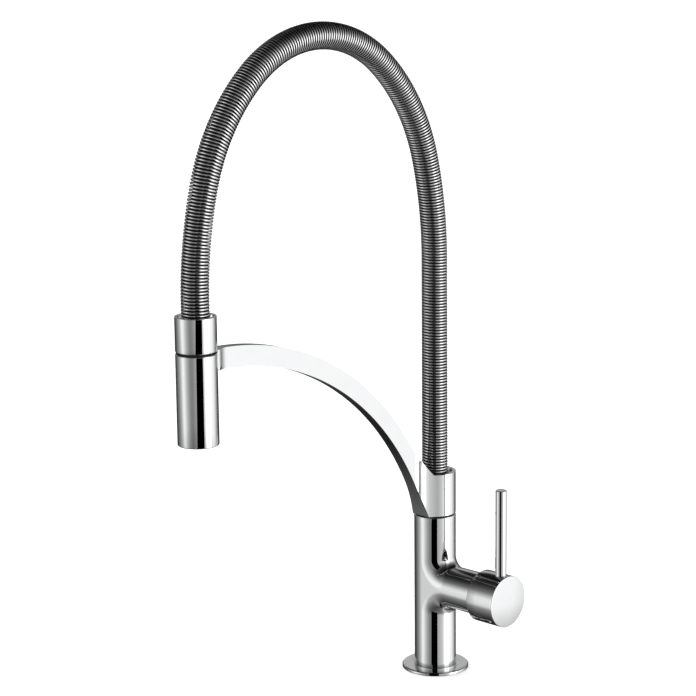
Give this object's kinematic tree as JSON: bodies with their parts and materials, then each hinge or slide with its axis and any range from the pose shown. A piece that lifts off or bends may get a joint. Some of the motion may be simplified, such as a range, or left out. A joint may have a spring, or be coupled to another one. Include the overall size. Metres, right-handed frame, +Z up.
{
  "type": "kitchen mixer tap",
  "caption": "Tall chrome kitchen mixer with a side lever, a swivelling flat arm and a magnet-docked pull-down spray head on an arched spring hose.",
  "frame": {"origin": "centre of the column's underside, on the deck that the mixer stands on", "axes": "+Z up along the column; the arm and spray head point to -Y and the lever to +X"},
  "size_m": [0.1007, 0.2856, 0.5116],
  "materials": {
    "chrome": "polished chrome plate",
    "spring_chrome": "polished stainless spring wire",
    "spring_steel": "plain steel",
    "brass": "turned brass",
    "rubber": "matte",
    "hose_rubber": "satin black hose",
    "black_plastic": "matte black",
    "grey_plastic": "moulded grey",
    "white_plastic": "moulded white",
    "ceramic": "lapped ceramic",
    "magnet": "nickel-plated magnet"
  },
  "bodies": {
    "faucet_body": {"base_flange": "chrome", "base_seal": "rubber", "body_casting": "chrome", "swivel_washer": "black_plastic", "swivel_spigot": "brass", "spigot_o_rings": "rubber", "retaining_ring": "spring_steel", "cartridge_base": "white_plastic", "cartridge_seals": "rubber", "cartridge_housing": "grey_plastic", "fixed_disc": "ceramic", "cartridge_nut": "brass"},
    "temperature_carrier": {"cartridge_carrier": "white_plastic", "pivot_pin": "spring_steel"},
    "lever": {"cartridge_stem": "spring_steel", "lever_cap": "chrome", "lever_pin": "chrome", "grub_screw": "spring_steel"},
    "mixing_disc": {"moving_disc": "ceramic", "disc_driver": "white_plastic"},
    "swivel_arm": {"support_arm": "chrome", "dock_magnet": "magnet", "spring_seat": "brass", "hose_tail": "brass", "hose_tail_o_ring": "rubber", "hose_spring": "spring_chrome", "inner_hose": "hose_rubber"},
    "hose_end": {"hose_coupling": "chrome", "coupling_fitting": "brass", "fitting_o_ring": "rubber"},
    "spray_head": {"seam_ring": "black_plastic", "spray_sleeve": "chrome", "steel_band": "spring_steel", "head_core": "grey_plastic", "check_valve": "white_plastic", "spray_face": "grey_plastic", "face_seal": "rubber"}
  },
  "joints": [
    {"name": "arm_swivel", "type": "hinge", "parent": "faucet_body", "child": "swivel_arm", "pos_m": [0, 0, 0.13], "axis": [0, 0, 1], "continuous": true},
    {"name": "lever_temperature", "type": "hinge", "parent": "faucet_body", "child": "temperature_carrier", "pos_m": [0.044, 0, 0.069], "axis": [1, 0, 0], "range_deg": [-45, 45]},
    {"name": "lever_flow", "type": "hinge", "parent": "temperature_carrier", "child": "lever", "pos_m": [0.044, 0, 0.069], "axis": [0, 1, 0], "range_deg": [0, 18]},
    {"name": "disc_shift", "type": "slide", "parent": "temperature_carrier", "child": "mixing_disc", "axis": [0, 0, 1], "range_m": [0, 0.0029]},
    {"name": "head_pull", "type": "slide", "parent": "swivel_arm", "child": "hose_end", "axis": [0, 0, -1], "range_m": [0, 0.11], "stiffness_N_per_m": 60, "springref_m": -0.15, "deforming": ["hose_spring", "inner_hose"]},
    {"name": "head_spin", "type": "hinge", "parent": "hose_end", "child": "spray_head", "pos_m": [0, -0.245, 0.28], "axis": [0, 0, 1], "continuous": true}
  ],
  "couplings": [
    {"joint": "disc_shift", "follows": "lever_flow", "m_per_rad": 0.009}
  ]
}
